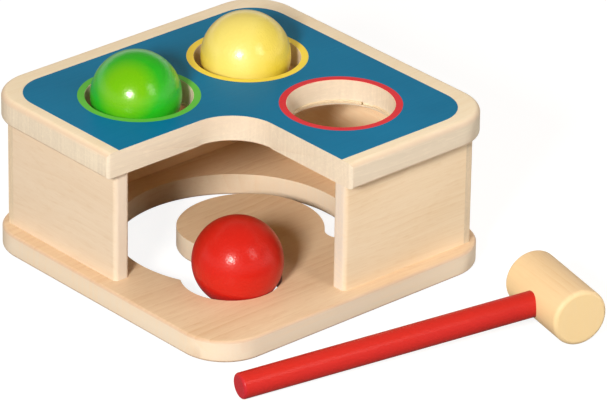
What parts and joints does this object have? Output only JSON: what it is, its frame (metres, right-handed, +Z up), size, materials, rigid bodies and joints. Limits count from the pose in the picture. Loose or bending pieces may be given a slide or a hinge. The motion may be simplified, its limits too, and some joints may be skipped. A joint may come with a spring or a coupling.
{
  "type": "pound-a-ball ramp toy",
  "caption": "Wooden bench toy: balls are knocked through holes in an L-shaped top plate, roll along a widening curved slot in the base and stop in a recess; with mallet.",
  "frame": {"origin": "centre of the base plate's underside", "axes": "+Z up; the open front corner with the recess is at -X and -Y; the back panels are at +X and +Y"},
  "size_m": [0.2109, 0.3024, 0.119],
  "materials": {
    "base_wood": "pale beech, satin clear lacquer",
    "top_wood": "pale beech, satin clear lacquer",
    "wall_wood": "pale beech, satin clear lacquer",
    "panel_wood": "pale wood, satin clear lacquer",
    "dowel_wood": "plain turned wood",
    "blue_ink": "screen-printed ink",
    "green_ink": "screen-printed ink",
    "yellow_ink": "screen-printed ink",
    "red_ink": "screen-printed ink",
    "clear_rubber": "clear soft elastomer",
    "green_lacquer": "gloss lacquer on turned wood",
    "yellow_lacquer": "gloss lacquer on turned wood",
    "red_lacquer": "gloss lacquer on turned wood",
    "mallet_wood": "clear lacquer on turned wood",
    "handle_lacquer": "gloss lacquer on a wooden dowel"
  },
  "bodies": {
    "bench": {"base_plate": "base_wood", "left_wall": "wall_wood", "right_wall": "wall_wood", "back_left_panel": "panel_wood", "back_right_panel": "panel_wood", "base_dowels": "dowel_wood", "top_plate": "top_wood", "top_dowels": "dowel_wood", "blue_print": "blue_ink", "green_ring_print": "green_ink", "yellow_ring_print": "yellow_ink", "red_ring_print": "red_ink", "green_hold_ring": "clear_rubber", "yellow_hold_ring": "clear_rubber", "red_hold_ring": "clear_rubber"},
    "green_ball": {"green_ball": "green_lacquer"},
    "yellow_ball": {"yellow_ball": "yellow_lacquer"},
    "red_ball": {"red_ball": "red_lacquer"},
    "mallet": {"mallet_head": "mallet_wood", "mallet_handle": "handle_lacquer"}
  },
  "joints": [
    {"name": "green_ball_drop", "type": "slide", "parent": "bench", "child": "green_ball", "axis": [0, 0, 1], "range_m": [-0.0585, 0.03], "deforming": ["green_hold_ring"]},
    {"name": "yellow_ball_drop", "type": "slide", "parent": "bench", "child": "yellow_ball", "axis": [0, 0, 1], "range_m": [-0.0566, 0.03], "deforming": ["yellow_hold_ring"]},
    {"name": "red_ball_lift", "type": "slide", "parent": "bench", "child": "red_ball", "axis": [0, 0, 1], "range_m": [0, 0.08]},
    {"name": "mallet_lift", "type": "slide", "parent": "bench", "child": "mallet", "axis": [0, 0, 1], "range_m": [0, 0.08]}
  ]
}
